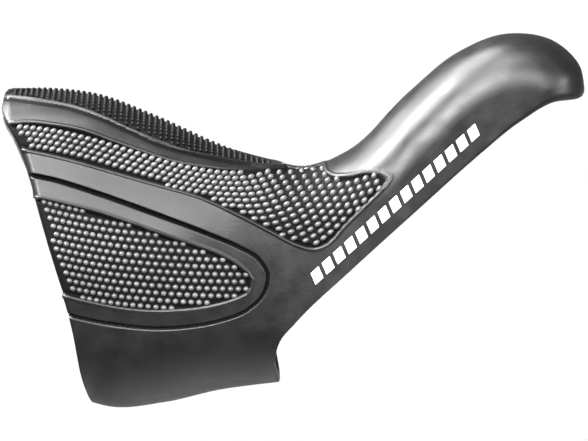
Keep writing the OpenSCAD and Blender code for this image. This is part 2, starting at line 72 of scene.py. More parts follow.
SEEN_TILT = math.radians(8)
CROWN_GROOVE = [(-1.5, 31.3), (7.8, 30.0), (13.6, 28.8), (20.2, 26.5), (25.4, 24.1), (31.9, 21.4),
                (38.7, 19.0), (48.7, 17.0), (54.5, 16.1), (59.0, 15.9)]
SHOULDER_GROOVE = [(-2.5, 30.2), (5.2, 29.0), (11.9, 27.9), (18.7, 25.7), (25.4, 22.7), (31.9, 19.8),
                   (41.9, 17.1), (54.5, 15.0)]
SADDLE_UPPER = [(-1.0, 24.0), (3.7, 24.5), (8.7, 24.0), (15.2, 22.8), (21.9, 20.4), (28.7, 18.0),
                (35.3, 15.9), (41.5, 14.9), (51.3, 14.4), (57.8, 14.9)]
SADDLE_LOWER = [(0.5, 19.6), (7.8, 18.2), (14.3, 16.6), (23.7, 13.9), (31.7, 11.6), (40.4, 9.1),
                (49.1, 5.2), (56.0, 1.6), (62.1, -1.5), (64.9, -2.2), (67.3, -1.5), (71.7, 3.0),
                (74.9, 6.1), (78.0, 9.1), (79.6, 10.7), (80.2, 11.9)]
SADDLE_FRONT = [(80.2, 11.9), (79.2, 13.2), (76.6, 13.6), (71.7, 13.0), (69.1, 13.2), (67.5, 14.3),
                (67.1, 15.8)]
OVAL_OUTER = [(2.5, 13.8), (9.3, 12.4), (17.8, 9.8), (26.1, 6.9), (34.3, 3.9), (42.6, 0.7),
              (49.1, -2.1), (53.2, -4.6), (55.2, -8.3), (54.2, -12.2), (51.0, -15.4), (44.7, -17.9),
              (38.4, -19.1), (32.4, -19.5), (23.9, -18.9), (17.8, -17.9), (11.0, -16.2)]
OVAL_INNER = [(3.8, 8.7), (11.5, 7.0), (17.8, 5.4), (26.1, 2.7), (34.3, -0.2), (38.4, -1.5),
              (44.7, -3.8), (48.9, -6.3), (51.4, -9.1), (51.0, -11.3), (48.0, -12.9), (42.6, -14.4),
              (36.5, -15.2), (30.2, -15.4), (23.9, -14.8), (17.8, -13.6), (9.5, -11.5)]
MARK_LINE = [(64.9, -8.9), (100.8, 23.9)]

COLUMNS = (28, 190, 102)  # samples round the belly, up the side and over the crown, on each half
ROWS = (330, 84)          # rings over the patterned grip and along the horn
ROWS_SPLIT = 0.6          # share of the length where the horn's wider spaced rings begin
LINING_ROWS, LINING_COLUMNS = 60, (8, 20, 22)
RIM_STEPS, RIM_R, HOOD_LENGTH = 6, WALL / 2, 100.0
SLOT_X, SLOT_Z = (-5.3, 9.9), (14.5, 18.7)
LIP_R, LIP_SINK, LIP_SIDES = 0.8, 0.45, 10


# ---------------------------------------------------------------------------------------------
# Smooth lines

class Line:
    """A smooth line through points, read by its share of the length from 0 to 1."""

    def __init__(self, points):
        self.p = np.asarray(points, float)
        steps = np.linalg.norm(np.diff(self.p, axis=0), axis=1)
        self.length = steps.sum()
        self.k = np.concatenate([[0.0], np.cumsum(steps)]) / self.length
        slope = np.diff(self.p, axis=0) / np.diff(self.k)[:, None]
        self.m = np.zeros_like(self.p)
        self.m[0], self.m[-1] = slope[0], slope[-1]
        for i in range(1, len(self.p) - 1):
            before, after = self.k[i] - self.k[i - 1], self.k[i + 1] - self.k[i]
            self.m[i] = (slope[i - 1] * after + slope[i] * before) / (before + after)

    def at(self, t):
        t = np.asarray(t, float)
        i = np.clip(np.searchsorted(self.k, t, side="right") - 1, 0, len(self.p) - 2)
        h = self.k[i + 1] - self.k[i]
        s = ((t - self.k[i]) / h)[..., None]
        h = h[..., None]
        return ((2 * s**3 - 3 * s**2 + 1) * self.p[i] + (s**3 - 2 * s**2 + s) * h * self.m[i]
                + (3 * s**2 - 2 * s**3) * self.p[i + 1] + (s**3 - s**2) * h * self.m[i + 1])

    def heading(self, t):
        d = self.at(np.asarray(t) + 0.002) - self.at(np.asarray(t) - 0.002)
        return d / np.linalg.norm(d, axis=-1, keepdims=True)

    def bulge(self, t):
        return self.at(t) - (self.p[0] + (self.p[-1] - self.p[0]) * np.asarray(t)[..., None])

    def trace(self, steps):
        return self.at(np.linspace(0, 1, steps + 1))


def off_line(points, trace, chunk=40000):
    """Distance from each point to a line of short straight steps, and how far along it, 0 to 1."""
    flat = points.reshape(-1, 2)
    a, d = trace[:-1], np.diff(trace, axis=0)
    dd = np.maximum((d * d).sum(1), 1e-12)
    best, where = np.empty(len(flat)), np.empty(len(flat))
    for start in range(0, len(flat), chunk):
        p = flat[start:start + chunk, None, :] - a[None]
        s = np.clip((p * d).sum(2) / dd, 0, 1)
        off = np.linalg.norm(p - s[..., None] * d, axis=2)
        i = off.argmin(1)
        rows = np.arange(len(i))
        best[start:start + chunk] = off[rows, i]
        where[start:start + chunk] = (i + s[rows, i]) / len(a)
    return best.reshape(points.shape[:-1]), where.reshape(points.shape[:-1])


def left_of(d):
    return np.stack([-d[..., 1], d[..., 0]], -1)


def mix(a, b, t):
    return a + (b - a) * t


def eased(t):
    t = np.clip(t, 0, 1)
    return t * t * (3 - 2 * t)


top, belly, rear, front = Line(TOP_LINE), Line(BELLY_LINE), Line(REAR_RIM), Line(FRONT_RIM)
TOP_TRACE, BELLY_TRACE, REAR_TRACE = top.trace(120), belly.trace(40), rear.trace(60)


# ---------------------------------------------------------------------------------------------
# The hood's surface

def half_width(x):
    a = (GRIP_HALF - REAR_HALF) / GRIP_X
    b = (HORN_HALF - GRIP_HALF) / (TIP_X - GRIP_X)
    return REAR_HALF + a * x + (b - a) / TIP_X * x * (x - GRIP_X)


def rounded(s, n):
    s = np.clip(s, 0, 1)
    return (1 - (1 - s)**n)**(1 / n)


def horn_share(x):
    return eased((x - ROUND_START) / (ROUND_END - ROUND_START))


def rounding(x):
    blend = horn_share(x)
    return mix(*TOP_ROUND, blend), mix(*TOP_POWER, blend), mix(*BELLY_ROUND, blend)


def half_at(p, inset=0.0):
    """Half width of the hood at side points p, this far inside its skin."""
    t_round, t_power, b_round = rounding(p[..., 0])
    below, above = off_line(p, TOP_TRACE)[0], off_line(p, BELLY_TRACE)[0]
    bow = SIDE_BOW * (1 - horn_share(p[..., 0])) * ((above - below) / (above + below))**2
    return ((half_width(p[..., 0]) - inset) * (1 - bow)
            * rounded((below - inset) / (t_round - inset), t_power)
            * rounded((above - inset) / (b_round - inset), BELLY_POWER))


def spot(u, v, inset=0.0):
    """Side point at share u along the hood and share v up the ruling there."""
    t = top.at(u) - inset * left_of(top.heading(u))
    b = belly.at(u) + inset * left_of(belly.heading(u))
    u, v = np.asarray(u)[..., None], np.asarray(v)
    return (b + (t - b) * v[..., None] + rear.bulge(v) * np.clip(1 - u, 0, None)**REAR_FADE
            + front.bulge(v) * np.clip(u, 0, None)**FRONT_FADE)


def ruling_shares(u, inset, columns):
    """Shares up each ruling u, close together where the skin turns over the top and under the belly."""
    low, side, high = columns
    t = top.at(u) - inset * left_of(top.heading(u))
    b = belly.at(u) + inset * left_of(belly.heading(u))
    t_round, t_power, b_round = rounding(t[:, 0])
    line, b_dir = t - b, belly.heading(u)
    v_low = (b_round - inset) / np.abs(line[:, 0] * b_dir[:, 1] - line[:, 1] * b_dir[:, 0])
    arc = 1 - np.cos(np.pi / 2 * np.arange(low) / low)**(2 / BELLY_POWER)
    turn = np.cos(np.pi / 2 * np.arange(high, 0, -1) / high)
    depth = (t_round - inset)[:, None] * (1 - turn[None]**(2 / t_power[:, None])) + inset
    lo, hi = np.full(depth.shape, 0.35), np.ones(depth.shape)
    grid_u = np.repeat(u[:, None], depth.shape[1], 1)
    for _ in range(14):
        mid = (lo + hi) / 2
        deeper = off_line(spot(grid_u, mid, inset), TOP_TRACE)[0] > depth
        lo, hi = np.where(deeper, mid, lo), np.where(deeper, hi, mid)
    high_v = (lo + hi) / 2
    side_v = v_low[:, None] + (high_v[:, :1] - v_low[:, None]) * (np.arange(side) / side)
    return np.concatenate([v_low[:, None] * arc, side_v, high_v, np.ones((len(u), 1))], 1)


def seen(x, y, z):
    """Where a point of either side shows in the tilted side view."""
    return np.stack([x, z * math.cos(SEEN_TILT) - np.abs(y) * math.sin(SEEN_TILT)], -1)


def on_skin(points):
    """Outboard skin points (x, y, z) that show at these places of the tilted side view."""
    x, up = points[:, 0], points[:, 1]
    order = TOP_TRACE[:, 0].argsort()
    hi = np.interp(x, TOP_TRACE[order, 0], TOP_TRACE[order, 1])
    lo = np.full_like(hi, -34.0)
    for _ in range(26):
        mid = (lo + hi) / 2
        y = half_at(np.stack([x, mid], -1))
        under = mid * math.cos(SEEN_TILT) - y * math.sin(SEEN_TILT) < up
        lo, hi = np.where(under, mid, lo), np.where(under, hi, mid)
    z = (lo + hi) / 2
    return np.stack([x, -half_at(np.stack([x, z], -1)), z], -1)


def lifted(xyz, normal):
    """Skin points moved out by the side's fullness alone, where dots and marks stand."""
    places = seen(xyz[:, 0], xyz[:, 1], xyz[:, 2])
    return xyz + normal * fullness(places)[:, None]


def skin_normals(xyz):
    """Outward normals of the outboard skin at its points."""
    e = 0.15
    x, z = xyz[:, 0], xyz[:, 2]
    dx = (half_at(np.stack([x + e, z], -1)) - half_at(np.stack([x - e, z], -1))) / (2 * e)
    dz = (half_at(np.stack([x, z + e], -1)) - half_at(np.stack([x, z - e], -1))) / (2 * e)
    n = np.stack([-dx, -np.ones_like(dx), -dz], -1)
    return n / np.linalg.norm(n, axis=1, keepdims=True)


# ---------------------------------------------------------------------------------------------
# The moulded relief

GROOVES = [  # line, depth, half width, share of the length where it fades out
    (CROWN_GROOVE, 0.7, 0.5, 0.88),
    (SHOULDER_GROOVE, 0.7, 0.5, 0.95),
    (OVAL_OUTER, 0.6, 0.5, 1.2),
]
GROOVE_PAINTED_SHADE = 0.78                  # share of a groove's width whose deep bottom gets painted shade, the darker rubber
SHINGLES = [  # upper edge line, lower edge line, rise per mm going down, where it fades out along x
    (SADDLE_LOWER[:9], OVAL_OUTER[:8], 0.2, (40.0, 53.0)),
    (OVAL_OUTER[:7], OVAL_INNER[:7], 0.24, (30.0, 43.0)),
]
SIDE_CROWN = 1.3                    # soft fullness of the side of the grip, at its fullest
SIDE_CROWN_MIDDLE = -2.0            # the height where it is fullest
SIDE_CROWN_REACH = 24.0             # how far above and below that it ends
SIDE_CROWN_FADE = (35.0, 65.0)      # where it fades out along x
CREST_HALF = 5.0                    # half width over the top where the saddle field rises back to the skin
SHINGLE_STEP = 0.6                  # how far from its lower edge a band starts to fall away
FIELD_SINK = 0.5
EDGE_SINK, EDGE_REACH = 0.35, 0.7   # the furrow just inside a field's edge
BEAD, BEAD_REACH = 0.24, 0.9        # the soft raised lip just outside it


def inside(points, outline):
    """Which points lie inside a closed outline."""
    x, y = points[..., 0], points[..., 1]
    result = np.zeros(x.shape, bool)
    for (x0, y0), (x1, y1) in zip(outline, np.roll(outline, -1, axis=0)):
        if y0 != y1:
            result ^= ((y0 > y) != (y1 > y)) & (x < (x1 - x0) * (y - y0) / (y1 - y0) + x0)
    return result


def outline_of(*lines):
    return np.concatenate([Line(l).trace(60) for l in lines])


SIDE_FIELD = outline_of(OVAL_INNER, [(7.0, -13.0), (0.0, 9.6)])
SADDLE_FIELD = outline_of(SADDLE_LOWER, SADDLE_FRONT,
                          [(67.1, 15.8), (67.0, 24.0), (59.2, 24.0), (59.0, 15.0)],
                          SADDLE_UPPER[::-1], [(-4.0, 24.0), (-4.0, 19.6)])
CROWN_FIELD = outline_of(CROWN_GROOVE, [(59.0, 15.9), (59.0, 40.0), (-6.0, 40.0), (-6.0, 31.4)])
FIELDS = (SIDE_FIELD, SADDLE_FIELD, CROWN_FIELD)


def humped(t):
    """A soft hump: 1 at t = 0, 0 at t = 1 and beyond."""
    return (1 - np.clip(np.abs(t), 0, 1)**2)**2


def fullness(places):
    """The soft swell of the side of the grip, fading out towards the front."""
    return (SIDE_CROWN * humped((places[..., 1] - SIDE_CROWN_MIDDLE) / SIDE_CROWN_REACH)
            * (1 - eased((places[..., 0] - SIDE_CROWN_FADE[0])
                         / (SIDE_CROWN_FADE[1] - SIDE_CROWN_FADE[0]))))


def relief(places, aside):
    """Height of the moulded pattern over the plain skin, at places of the tilted side view.

    aside is how far each place lies from the middle plane.
    """
    height = fullness(places)
    for points, depth, half, fade in GROOVES:
        line = Line(points)
        off, along = off_line(places, line.trace(80))
        height -= depth * humped(off / half) * eased((fade + 0.08 - along) / 0.16)
    for upper, lower, rise, (fade_from, fade_to) in SHINGLES:
        over, under = Line(upper).trace(60), Line(lower).trace(60)
        band = np.concatenate([[[-6, over[0, 1]]], over, under[::-1], [[-6, under[0, 1]]]])
        height += (inside(places, band) * rise * off_line(places, over)[0]
                   * eased(off_line(places, under)[0] / SHINGLE_STEP)
                   * (1 - eased((places[..., 0] - fade_from) / (fade_to - fade_from))))
    for outline in FIELDS:
        edge = np.concatenate([outline, outline[:1]])
        off = off_line(places, edge)[0] * np.where(inside(places, outline), 1, -1)
        over_top = 1.0 if outline is not SADDLE_FIELD else 0.15 + 0.85 * eased(aside / CREST_HALF)
        height -= FIELD_SINK * over_top * eased((off + 0.1) / 0.5)
        height -= EDGE_SINK * over_top * humped((off - EDGE_REACH / 2) / (EDGE_REACH / 2))
        height += BEAD * humped((off + BEAD_REACH / 2) / (BEAD_REACH / 2))
    return height


# ---------------------------------------------------------------------------------------------
# Meshes

def new_piece(name, verts, faces, material, normals=None):
    """A smooth piece of the hood, riding on the lever body, from vertices in millimetres."""
    mesh = bpy.data.meshes.new(name)
    mesh.from_pydata((verts * MM).tolist(), [], faces)
    mesh.update()
    mesh.polygons.foreach_set("use_smooth", [True] * len(mesh.polygons))
    if normals is not None:
        mesh.normals_split_custom_set_from_vertices(normals.tolist())
    obj = bpy.data.objects.new(name, mesh)
    bpy.context.scene.collection.objects.link(obj)
    obj.data.materials.append(material)
    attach(obj, "lever")
    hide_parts("hood")
    return obj


def grid_faces(rows, columns, turned, keep=None):
    r, c = np.meshgrid(np.arange(rows - 1), np.arange(columns - 1), indexing="ij")
    a = r * columns + c
    quads = np.stack([a, a + 1, a + columns + 1, a + columns], -1).reshape(-1, 4)
    if keep is not None:
        quads = quads[keep.reshape(-1)[quads].all(1)]
    return (quads[:, ::-1] if turned else quads).tolist()


def grid_normals(xyz):
    """Unit normals of a grid of points, out of the outboard side."""
    du, dv = np.gradient(xyz, axis=0), np.gradient(xyz, axis=1)
    n = np.cross(du, dv)
    return n / np.maximum(np.linalg.norm(n, axis=-1, keepdims=True), 1e-9)


def half_grid(u_rows, insets, columns):
    """Points of the outboard half, a row for each share along the hood, each at its depth below the skin."""
    shares = ruling_shares(u_rows, 0.0, columns)
    u = np.repeat(u_rows[:, None], shares.shape[1], 1)
    out = np.empty(u.shape + (3,))
    for value in np.unique(np.round(insets, 4)):
        pick = np.abs(insets - value) < 1e-3
        p = spot(u[pick], shares[pick], value)
        y = half_at(p, value)
        y[:, 0] = y[:, -1] = 0
        out[pick] = np.stack([p[..., 0], -y, p[..., 1]], -1)
    return out


def seamed(normals):
    """Normals that lie in the middle plane along both middle seams."""
    for column in (0, -1):
        normals[:, column, 1] = 0
        normals[:, column] /= np.maximum(np.linalg.norm(normals[:, column], axis=1, keepdims=True), 1e-9)
    return normals


def length_shares():
    """Shares of the rings along the hood, with the rounding of the two rims and its depth below the skin."""
    rim_u = RIM_R / HOOD_LENGTH
    turn = np.linspace(0, math.pi, RIM_STEPS + 1)
    depth = RIM_R * (1 - np.cos(turn))
    grip = np.linspace(rim_u, ROWS_SPLIT, ROWS[0], endpoint=False)
    horn = np.linspace(ROWS_SPLIT, 1 - rim_u, ROWS[1])
    u = np.concatenate([rim_u - rim_u * np.sin(turn[:0:-1]), grip, horn,
                        1 - rim_u + rim_u * np.sin(turn[1:])])
    return u, np.concatenate([depth[:0:-1], np.zeros(sum(ROWS)), depth[1:]])


def make_skins(rubber, shade_rubber):
    """The hood's outer skin with its moulded relief and rounded rims: two outboard pieces and one inboard."""
    u, insets = length_shares()
    xyz = half_grid(u, insets, COLUMNS)
    places = seen(xyz[..., 0], xyz[..., 1], xyz[..., 2])
    outside = eased((WALL / 4 - insets) / (WALL / 4))[:, None]
    moved = xyz + seamed(grid_normals(xyz)) * (relief(places, np.abs(xyz[..., 1])) * outside)[..., None]
    moved[:, [0, -1], 1] = 0
    normals = seamed(grid_normals(moved))
    # painted shade: faces on the sunk field floors and in the groove bottoms take the darker, duller rubber,
    # standing in for the shade that falls in these recesses
    painted_shade_faces = np.zeros(places.shape[:-1], bool)
    for outline in FIELDS:
        painted_shade_faces |= inside(places, outline)
    for points, _, half, fade in GROOVES:
        off, along = off_line(places, Line(points).trace(80))
        painted_shade_faces |= (off < half * GROOVE_PAINTED_SHADE) & (along < fade)
    half = sum(ROWS) // 2 - 20
    skin_piece("hood_skin_grip", moved[:half + 1], normals[:half + 1], painted_shade_faces[:half + 1], rubber, shade_rubber, 1)
    skin_piece("hood_skin_horn", moved[half:], normals[half:], painted_shade_faces[half:], rubber, shade_rubber, 1)
    rows = np.unique(np.concatenate([np.arange(RIM_STEPS + 1), np.arange(0, len(u), 2),
                                     np.arange(len(u) - RIM_STEPS - 1, len(u))]))
    columns = np.arange(0, xyz.shape[1], 2)
    pick = np.ix_(rows, columns)
    skin_piece("hood_skin_inboard", moved[pick], normals[pick], painted_shade_faces[pick], rubber, shade_rubber, -1)


def skin_piece(name, xyz, normals, painted_shade_faces, rubber, shade_rubber, side):
    """One sheet of the skin; side is 1 outboard and -1 inboard."""
    flip = np.array([1, side, 1])
    verts = (xyz * flip).reshape(-1, 3)
    keep = None if side == 1 else ~in_thumb_slot(verts)
    faces = grid_faces(*xyz.shape[:2], side == 1, keep)
    obj = new_piece(name, verts, faces, rubber, (normals * flip).reshape(-1, 3))
    # second slot: the painted shade rubber, put on the faces picked above
    obj.data.materials.append(shade_rubber)
    first = np.array(faces)[:, 0]
    obj.data.polygons.foreach_set("material_index", painted_shade_faces.reshape(-1)[first].astype(int).tolist())


def make_lining(rubber):
    """The smooth inside of the hood."""
    u = np.linspace(RIM_R / HOOD_LENGTH, 1 - RIM_R / HOOD_LENGTH, LINING_ROWS)
    xyz = half_grid(u, np.full(LINING_ROWS, WALL), LINING_COLUMNS)
    verts = np.concatenate([(xyz * [1, side, 1]).reshape(-1, 3) for side in (1, -1)])
    keep = ~in_thumb_slot(verts)
    count = len(verts) // 2
    faces = grid_faces(*xyz.shape[:2], False)
    faces += [[k + count for k in f] for f in grid_faces(*xyz.shape[:2], True, keep[count:])]
    new_piece("hood_lining", verts, faces, rubber)


def in_gear(xyz):
    """Points in the mechanism's own frame: along the front line, across, and inward."""
    p = xyz - GEAR_AT
    c, s = math.cos(GEAR_LEAN), math.sin(GEAR_LEAN)
    return np.stack([p[..., 0] * c + p[..., 2] * s, p[..., 1], -p[..., 0] * s + p[..., 2] * c], -1)


def in_thumb_slot(verts):
    g = in_gear(verts)
    return ((g[..., 0] > SLOT_X[0]) & (g[..., 0] < SLOT_X[1])
            & (g[..., 2] > SLOT_Z[0]) & (g[..., 2] < SLOT_Z[1]) & (g[..., 1] > 5))


def make_slot_lip(rubber):
    """A rolled lip round the slot that the thumb lever comes out of."""
    points = []
    corner = 1.4
    for cx, cz, start in ((SLOT_X[1], SLOT_Z[1], 0), (SLOT_X[0], SLOT_Z[1], 90),
                          (SLOT_X[0], SLOT_Z[0], 180), (SLOT_X[1], SLOT_Z[0], 270)):
        for k in range(9):
            a = math.radians(start + k * 90 / 8)
            points.append((cx - math.copysign(corner, cx - sum(SLOT_X) / 2) + corner * math.cos(a),
                           cz - math.copysign(corner, cz - sum(SLOT_Z) / 2) + corner * math.sin(a)))
    gear = np.array(points)
    c, s = math.cos(GEAR_LEAN), math.sin(GEAR_LEAN)
    x = GEAR_AT[0] + gear[:, 0] * c - gear[:, 1] * s
    z = GEAR_AT[2] + gear[:, 0] * s + gear[:, 1] * c
    path = np.stack([x, -half_at(np.stack([x, z], -1)), z], -1)
    normal = skin_normals(path)
    path = path - normal * LIP_SINK
    ahead = np.roll(path, -1, axis=0) - np.roll(path, 1, axis=0)
    ahead /= np.linalg.norm(ahead, axis=1, keepdims=True)
    side = np.cross(normal, ahead)
    turn = np.arange(LIP_SIDES) * 2 * math.pi / LIP_SIDES
    rings = path[:, None] + LIP_R * (normal[:, None] * np.cos(turn)[None, :, None]
                                     + side[:, None] * np.sin(turn)[None, :, None])
    count = len(path)
    faces = []
    for i in range(count):
        for j in range(LIP_SIDES):
            a, b = i * LIP_SIDES + j, i * LIP_SIDES + (j + 1) % LIP_SIDES
            step = ((i + 1) % count - i) * LIP_SIDES
            faces.append((a, a + step, b + step, b))
    new_piece("thumb_slot_lip", (rings * [1, -1, 1]).reshape(-1, 3), faces, rubber)


# ---------------------------------------------------------------------------------------------
# Dots of the grip fields

DOME_SIDES = 8
SIDE_DOTS = (0.15, 0.68, 0.6, 0.75)    # clear edge of the field, half length, half width, height
SADDLE_DOTS = (0.12, 0.86, 0.56, 0.8)
CROWN_DOTS = (0.42, 0.44, 0.55)        # half length, half width, height
RIM_CLEAR = 1.6
CROWN_FROM, CROWN_TO, CROWN_PITCH = 0.6, 57.0, (1.22, 1.5)
DASH_TURN = 46
DOME_RINGS = [(1.0, -0.25), (0.94, 0.4), (0.74, 0.78), (0.4, 0.95)]


SIDE_ROWS = {  # along the side field: place, height of the middle row, and pitch along it
    "x": [-4, 2, 6, 15, 22, 29, 41, 48, 58],
    "line": [6.7, 5.2, 4.1, 1.96, 0.75, 0.0, -0.77, -0.97, -1.0],
    "pitch": [1.2, 1.25, 1.3, 1.42, 1.56, 1.66, 1.7, 1.67, 1.67],
}
SIDE_ROW_GAP, SIDE_ROW_LOW, SIDE_ROW_COUNT = 1.55, -24.0, 26
# Along the saddle field: slope of the top row, drop from row to row, dots a mm, shift from row to row
SADDLE_ROWS = {
    "x": [-4, 4, 10, 20, 27, 37, 43, 48, 52, 56.7, 63.2, 72, 82],
    "slope": [-0.03, -0.1, -0.2, -0.3, -0.306, -0.222, -0.12, 0.0, 0.2, 0.55, 1.02, 1.7, 1.9],
    "gap": [1.25, 1.28, 1.3, 1.31, 1.31, 1.17, 1.15, 1.16, 1.3, 1.5, 1.77, 2.19, 2.4],
    "dots": [0.75, 0.7, 0.68, 0.66, 0.654, 0.648, 0.62, 0.588, 0.56, 0.537, 0.625, 0.795, 0.8],
    "shift": [0.3, 0.3, 0.3, 0.3, 0.3, 0.31, 0.32, 0.33, 0.34, 0.36, 0.39, 0.42, 0.44],
}
SADDLE_START, SADDLE_ROW_SPAN = (27.0, 15.5), (-9, 16)


def travelled(x, rate):
    """Running sum of a rate along x."""
    return np.concatenate([[0], np.cumsum((rate[1:] + rate[:-1]) / 2 * np.diff(x))])


def dots_on(x, y, count):
    """Points of a row where its running count passes a whole number, and which way the row runs there."""
    whole = np.arange(math.ceil(count[0]), count[-1])
    px = np.interp(whole, count, x)
    ahead = px + 0.1
    p = np.stack([px, np.interp(px, x, y)], -1)
    return p, np.stack([ahead, np.interp(ahead, x, y)], -1) - p


def side_rows():
    x = np.linspace(SIDE_ROWS["x"][0], SIDE_ROWS["x"][-1], 400)
    line = Line(list(zip(SIDE_ROWS["x"], SIDE_ROWS["line"]))).trace(400)
    y = np.interp(x, line[:, 0], line[:, 1])
    count = travelled(x, 1 / np.interp(x, SIDE_ROWS["x"], SIDE_ROWS["pitch"]))
    rows = [dots_on(x, y + SIDE_ROW_LOW + row * SIDE_ROW_GAP, count + row * 0.5)
            for row in range(SIDE_ROW_COUNT)]
    return np.concatenate([p for p, _ in rows]), np.concatenate([d for _, d in rows])


def saddle_rows():
    x = np.linspace(SADDLE_ROWS["x"][0], SADDLE_ROWS["x"][-1], 800)
    slope, gap, dots, shift = (np.interp(x, SADDLE_ROWS["x"], SADDLE_ROWS[k])
                               for k in ("slope", "gap", "dots", "shift"))
    line = travelled(x, slope)
    line += SADDLE_START[1] - np.interp(SADDLE_START[0], x, line)
    count = travelled(x, dots)
    places, along = [], []
    for row in range(*SADDLE_ROW_SPAN):
        p, d = dots_on(x, line - row * gap, count - row * shift + 20)
        d /= np.linalg.norm(d, axis=1, keepdims=True)
        turn = np.radians(DASH_TURN * (1 - eased((p[:, 0] - 36) / 20)))
        places.append(p)
        along.append(np.stack([d[:, 0] * np.cos(turn) - d[:, 1] * np.sin(turn),
                               d[:, 0] * np.sin(turn) + d[:, 1] * np.cos(turn)], -1))
    return np.concatenate(places), np.concatenate(along)


def clip_to(places, along, outline, margin):
    edge = np.concatenate([outline, outline[:1]])
    keep = inside(places, outline) & (off_line(places, edge)[0] > margin)
    return places[keep], along[keep]


def domes(name, xyz, normal, ahead, long_r, short_r, height, material):
    """One dome at each skin point, long the way its row runs, on both sides of the hood."""
    t = ahead - normal * (ahead * normal).sum(1, keepdims=True)
    t /= np.maximum(np.linalg.norm(t, axis=1, keepdims=True), 1e-9)
    s = np.cross(normal, t)
    foot = xyz - normal * FIELD_SINK
    angles = np.arange(DOME_SIDES) * 2 * math.pi / DOME_SIDES
    rings = []
    for r, h in DOME_RINGS:
        ring = (foot[:, None] + t[:, None] * (long_r * r * np.cos(angles))[None, :, None]
                + s[:, None] * (short_r * r * np.sin(angles))[None, :, None]
                + normal[:, None] * (height * h))
        rings.append(ring)
    tip = foot + normal * height
    verts = np.concatenate([np.concatenate(rings, 1), tip[:, None]], 1)
    per = verts.shape[1]
    pattern = []
    for k in range(len(DOME_RINGS) - 1):
        for i in range(DOME_SIDES):
            j = (i + 1) % DOME_SIDES
            pattern.append((k * DOME_SIDES + i, k * DOME_SIDES + j,
                            (k + 1) * DOME_SIDES + j, (k + 1) * DOME_SIDES + i))
    last = (len(DOME_RINGS) - 1) * DOME_SIDES
    cap = [(last + i, last + (i + 1) % DOME_SIDES, per - 1) for i in range(DOME_SIDES)]
    all_verts, all_faces = [], []
    for side in (1, -1):
        v = (verts * [1, side, 1]).reshape(-1, 3)
        base = len(all_verts) * len(v)
        for n in range(len(xyz)):
            for face in pattern + cap:
                ids = [base + n * per + i for i in face]
                all_faces.append(ids if side == 1 else ids[::-1])
        all_verts.append(v)
    return new_piece(name, np.concatenate(all_verts), all_faces, material)


def clear_of_rims(xyz, margin):
    """Which outboard skin points keep this far in front of the rear rim."""
    rim = REAR_TRACE[REAR_TRACE[:, 1].argsort()]
    return xyz[:, 0] > np.interp(xyz[:, 2], rim[:, 1], rim[:, 0]) + margin


def make_side_dots(name, rows, outline, margin, long_r, short_r, height, material):
    places, along = clip_to(*rows, outline, margin)
    xyz = on_skin(places)
    keep = clear_of_rims(xyz, RIM_CLEAR)
    places, along, xyz = places[keep], along[keep], xyz[keep]
    ahead = on_skin(places + along / np.linalg.norm(along, axis=1, keepdims=True) * 0.3) - xyz
    normal = skin_normals(xyz)
    domes(name, lifted(xyz, normal), normal, ahead, long_r, short_r, height, material)


def crown_skin(x, y):
    """Height of the skin's top over plan points, and its normal there."""
    def height(x, y):
        order = TOP_TRACE[:, 0].argsort()
        hi = np.interp(x, TOP_TRACE[order, 0], TOP_TRACE[order, 1])
        lo = hi - 9.5
        for _ in range(22):
            mid = (lo + hi) / 2
            wide = half_at(np.stack([x, mid], -1)) > np.abs(y)
            lo, hi = np.where(wide, mid, lo), np.where(wide, hi, mid)
        return (lo + hi) / 2
    e = 0.2
    z = height(x, y)
    normal = np.stack([-(height(x + e, y) - height(x - e, y)) / (2 * e),
                       -(height(x, y + e) - height(x, y - e)) / (2 * e), np.ones_like(z)], -1)
    return z, normal / np.linalg.norm(normal, axis=1, keepdims=True)


def make_crown_dots(material):
    """Small dots over the top of the grip, in staggered rows from the rear rim to the dip."""
    x, y = [], []
    for row in range(int((CROWN_TO - CROWN_FROM) / CROWN_PITCH[0])):
        across = np.arange(-8, 9) * CROWN_PITCH[1] + (row % 2) * CROWN_PITCH[1] / 2
        x.append(np.full_like(across, CROWN_FROM + row * CROWN_PITCH[0]))
        y.append(across)
    x, y = np.concatenate(x), np.concatenate(y)
    z, normal = crown_skin(x, y)
    places = seen(x, y, z)
    keep = inside(places, CROWN_FIELD) & (normal[:, 2] > 0.6) & (y <= 1e-6)
    x, y, z, normal = x[keep], y[keep], z[keep], normal[keep]
    ahead = np.stack([np.ones_like(x), np.zeros_like(x), np.zeros_like(x)], -1)
    domes("hood_dots_crown", np.stack([x, y, z], -1), normal, ahead, *CROWN_DOTS, material)


def make_dots(material, crown_shade_material):
    # the side and saddle dots take the painted highlight rubber, the crown dots the painted shade rubber
    make_side_dots("hood_dots_side", side_rows(), SIDE_FIELD, *SIDE_DOTS, material)
    make_side_dots("hood_dots_saddle", saddle_rows(), SADDLE_FIELD, *SADDLE_DOTS, material)
    make_crown_dots(crown_shade_material)


# ---------------------------------------------------------------------------------------------
# The light mark along the front rim: a plain row of slanted bars

MARK_LIFT = 0.08


def make_mark(material):
    line = Line(MARK_LINE)
    bars, gap, half_h, slant = 15, 0.3, 1.25, 0.35
    verts, faces = [], []
    steps = 4
    direction = line.heading(np.array(0.5))
    across = left_of(direction)
    for b in range(bars):
        lo, hi = b / bars, (b + 1 - gap) / bars
        grid = []
        for i in range(steps + 1):
            for j in range(steps + 1):
                h = mix(-half_h, half_h, j / steps)
                grid.append(line.at(np.array(mix(lo, hi, i / steps))) + across * h + direction * h * slant)
        base = len(verts) * (steps + 1)**2
        xyz = on_skin(np.array(grid))
        normal = skin_normals(xyz)
        verts.append(lifted(xyz, normal) + normal * MARK_LIFT)
        faces += [[base + k for k in f] for f in grid_faces(steps + 1, steps + 1, False)]
    points = np.concatenate(verts)
    both = np.concatenate([points, points * [1, -1, 1]])
    faces += [[k + len(points) for k in f[::-1]] for f in faces]
    new_piece("hood_mark", both, faces, material)


